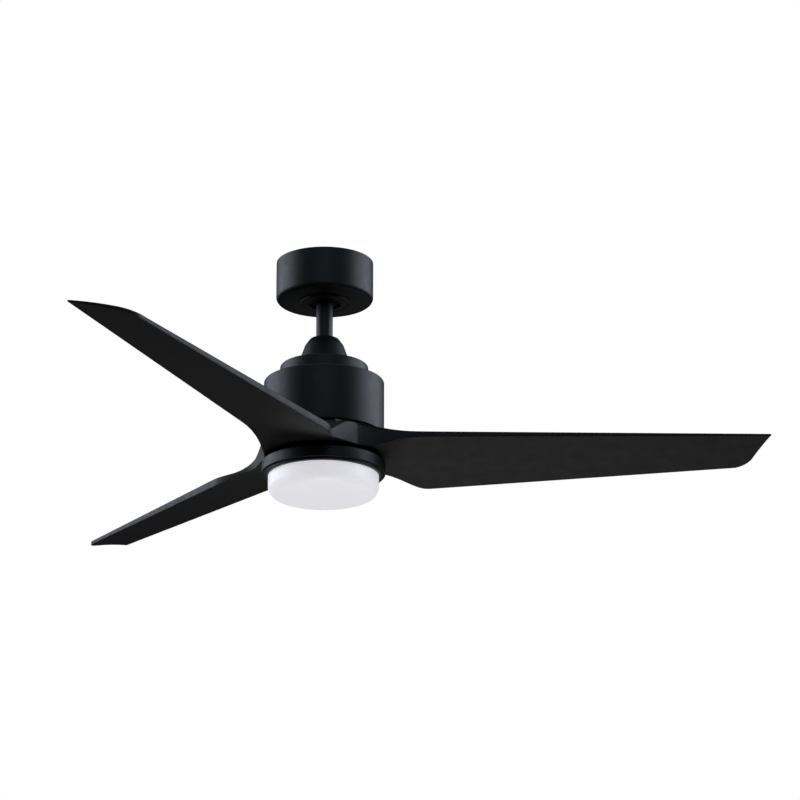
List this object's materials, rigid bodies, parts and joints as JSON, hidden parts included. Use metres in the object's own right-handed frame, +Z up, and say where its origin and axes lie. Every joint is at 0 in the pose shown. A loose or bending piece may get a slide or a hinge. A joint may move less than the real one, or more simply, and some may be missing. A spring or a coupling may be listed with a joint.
{
  "type": "ceiling fan with light",
  "caption": "Ceiling fan with pitched blades on a direct-drive motor, a short down rod on a swivel ball, and a round opal light below.",
  "frame": {"origin": "centre of the hanger bracket's face on the ceiling", "axes": "+Z up into the ceiling, the fan hangs towards -Z; +X along the bracket and along blade 1"},
  "size_m": [1.1221, 1.2453, 0.3957],
  "materials": {
    "black_paint": "satin black powder coat",
    "black_plastic": "matte moulded",
    "zinc_steel": "zinc plated",
    "screw_steel": "zinc plated",
    "ground_green": "green dyed zinc",
    "foam_pad": "foam tape",
    "ball_nylon": "glass-filled nylon",
    "cast_alloy": "die cast",
    "yoke_iron": "cast and painted",
    "bearing_steel": "ground",
    "magnet_ceramic": "sintered",
    "copper_wire": "enamelled copper wire",
    "grey_rubber": "matte",
    "white_pan": "white reflective paint",
    "board_white": "white solder mask on an aluminium board",
    "led_yellow": "phosphor",
    "driver_case": "moulded",
    "opal_plastic": "frosted opal"
  },
  "bodies": {
    "ceiling_mount": {"ceiling_bracket": "zinc_steel", "canopy": "black_paint", "canopy_screws": "screw_steel", "canopy_trim_ring": "black_paint", "receiver_unit": "black_plastic", "receiver_pad": "foam_pad", "ground_screw": "ground_green"},
    "hanger": {"hanger_ball": "ball_nylon", "ball_pin": "screw_steel", "ball_set_screw": "screw_steel", "down_rod": "black_paint", "motor_yoke": "yoke_iron", "clevis_pin": "screw_steel", "clevis_clip": "screw_steel", "yoke_set_screws": "screw_steel", "shaft_set_screw": "screw_steel", "motor_top_cap": "black_paint", "cap_screws": "screw_steel", "motor_housing": "black_paint", "housing_screws": "screw_steel", "motor_shaft": "bearing_steel", "shaft_retaining_rings": "screw_steel", "upper_inner_race": "bearing_steel", "lower_inner_race": "bearing_steel", "stator_hub": "ball_nylon", "stator_core": "zinc_steel", "stator_windings": "copper_wire", "light_plate": "zinc_steel", "light_plate_nuts": "screw_steel", "light_ring": "black_paint", "light_ring_screws": "screw_steel", "led_pan": "white_pan", "pan_screws": "screw_steel", "led_board": "board_white", "led_board_screws": "screw_steel", "led_chips": "led_yellow", "led_driver": "driver_case"},
    "rotor": {"upper_outer_race": "bearing_steel", "upper_bearing_balls": "bearing_steel", "lower_outer_race": "bearing_steel", "lower_bearing_balls": "bearing_steel", "rotor_upper_bell": "cast_alloy", "rotor_lower_bell": "cast_alloy", "bell_screws": "screw_steel", "back_iron_ring": "zinc_steel", "rotor_magnets": "magnet_ceramic", "blade_carrier": "cast_alloy", "carrier_screws": "screw_steel", "blade_1": "black_plastic", "blade_2": "black_plastic", "blade_3": "black_plastic", "blade_screws": "screw_steel", "blade_washers": "grey_rubber"},
    "coupling_cover": {"coupling_cover": "black_paint"},
    "lens": {"lens": "opal_plastic"}
  },
  "joints": [
    {"name": "hanger_tilt", "type": "hinge", "parent": "ceiling_mount", "child": "hanger", "pos_m": [0, 0, -0.0422], "axis": [1, 0, 0], "range_deg": [-18, 18]},
    {"name": "rotor_spin", "type": "hinge", "parent": "hanger", "child": "rotor", "pos_m": [0, 0, -0.312], "axis": [0, 0, 1], "continuous": true},
    {"name": "cover_lift", "type": "slide", "parent": "hanger", "child": "coupling_cover", "axis": [0, 0, 1], "range_m": [0, 0.045]},
    {"name": "lens_twist", "type": "hinge", "parent": "hanger", "child": "lens", "pos_m": [0, 0, -0.36], "axis": [0, 0, 1], "range_deg": [-26, 0]}
  ]
}
